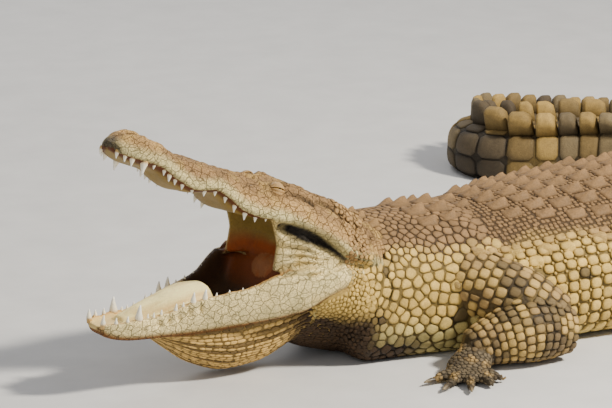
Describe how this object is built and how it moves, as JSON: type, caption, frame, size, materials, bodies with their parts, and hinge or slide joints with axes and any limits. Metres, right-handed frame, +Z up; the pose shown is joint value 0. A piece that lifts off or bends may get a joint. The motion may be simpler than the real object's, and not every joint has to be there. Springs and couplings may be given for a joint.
{
  "type": "nile crocodile, still life-size model",
  "caption": "Life-size Nile crocodile lying on its belly with its jaws open, head raised, forelegs folded beside the chest and tail curled round behind.",
  "frame": {"origin": "on the floor under the middle of the belly", "axes": "+Z up from the floor; the head points to -X and the animal's left side is -Y"},
  "size_m": [2.2528, 1.4913, 0.4779],
  "materials": {
    "body_hide": "matt, scaled",
    "head_hide": "matt, finely cracked",
    "jaw_hide": "matt, finely cracked",
    "tail_hide": "matt, scaled, banded",
    "limb_hide": "matt, scaled",
    "mouth_lining": "satin, moist",
    "eye": "gloss",
    "claw": "satin horn"
  },
  "bodies": {
    "root": {"cheeks": "jaw_hide", "claw_foreleg_left_foot_1": "claw", "claw_foreleg_left_foot_2": "claw", "claw_foreleg_left_foot_3": "claw", "claw_foreleg_right_foot_1": "claw", "claw_foreleg_right_foot_2": "claw", "claw_foreleg_right_foot_3": "claw", "claw_hindleg_left_foot_1": "claw", "claw_hindleg_left_foot_2": "claw", "claw_hindleg_left_foot_3": "claw", "claw_hindleg_right_foot_1": "claw", "claw_hindleg_right_foot_2": "claw", "claw_hindleg_right_foot_3": "claw", "eye_left": "eye", "eye_right": "eye", "foreleg_left_foot": "limb_hide", "foreleg_left_lower": "limb_hide", "foreleg_left_upper": "limb_hide", "foreleg_right_foot": "limb_hide", "foreleg_right_lower": "limb_hide", "foreleg_right_upper": "limb_hide", "head": "head_hide", "hindleg_left_foot": "limb_hide", "hindleg_left_lower": "limb_hide", "hindleg_left_upper": "limb_hide", "hindleg_right_foot": "limb_hide", "hindleg_right_lower": "limb_hide", "hindleg_right_upper": "limb_hide", "hips": "body_hide", "lower_jaw": "jaw_hide", "neck": "body_hide", "shoulders": "body_hide", "tail_1": "tail_hide", "tail_2": "tail_hide", "tail_3": "tail_hide", "tail_4": "tail_hide", "tail_5": "tail_hide", "tail_6": "tail_hide", "tail_7": "tail_hide", "tail_8": "tail_hide", "tail_9": "tail_hide", "throat_pouch": "jaw_hide", "tongue": "mouth_lining", "trunk_front": "body_hide", "trunk_rear": "body_hide"}
  },
  "joints": []
}
